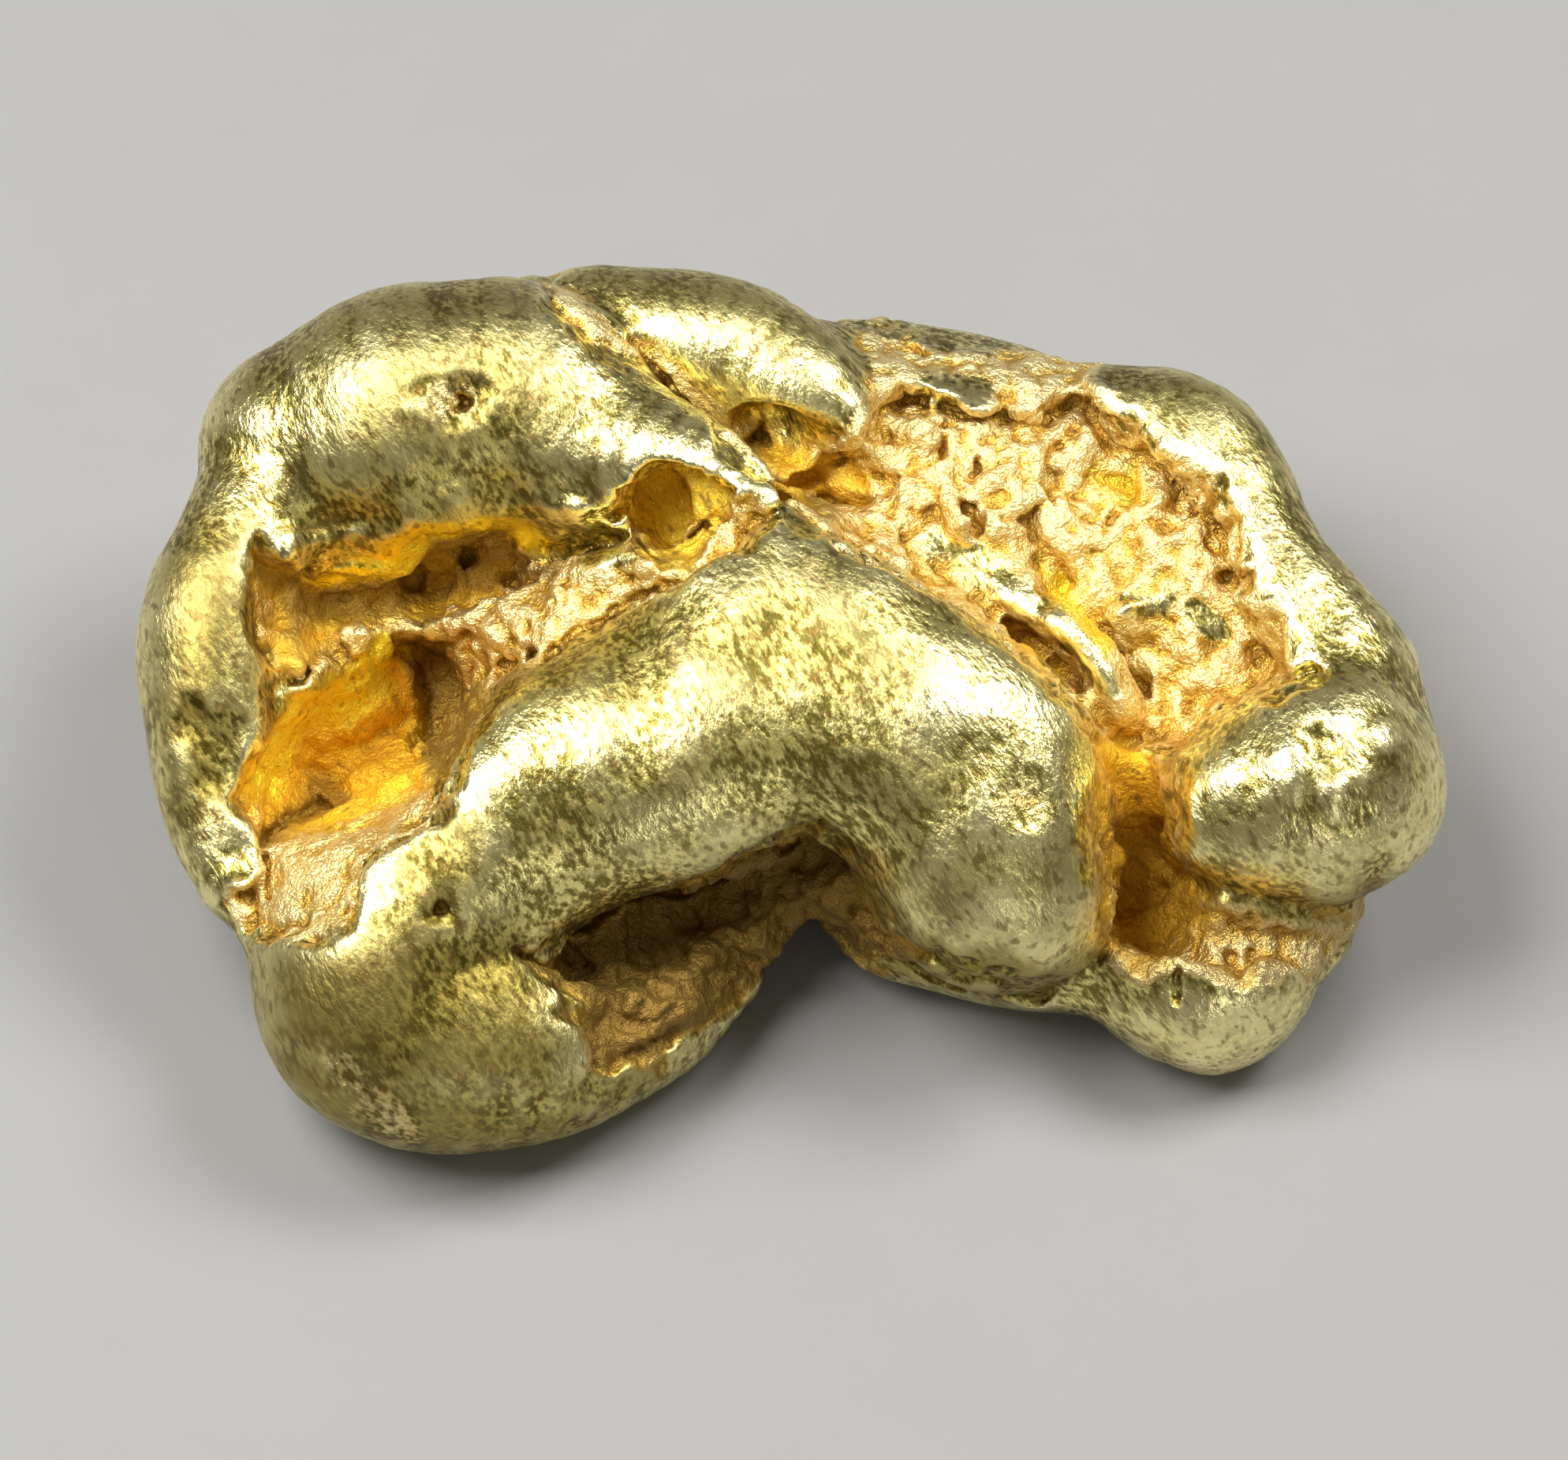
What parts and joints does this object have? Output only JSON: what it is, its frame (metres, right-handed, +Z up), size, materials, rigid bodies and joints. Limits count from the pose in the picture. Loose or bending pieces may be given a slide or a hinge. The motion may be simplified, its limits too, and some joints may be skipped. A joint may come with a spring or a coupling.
{
  "type": "gold nugget",
  "caption": "Small water-worn natural gold nugget of folded, rounded lobes round deep pits and a crumbly hollow, resting on its underside.",
  "frame": {"origin": "on the surface it rests on, under the middle of its bounding box", "axes": "+Z up; +X along its length, to the right as its broad face is looked at; +Y towards its back"},
  "size_m": [0.016, 0.011, 0.0059],
  "materials": {
    "gold": null
  },
  "bodies": {
    "root": {"gold_nugget": "gold"}
  },
  "joints": []
}
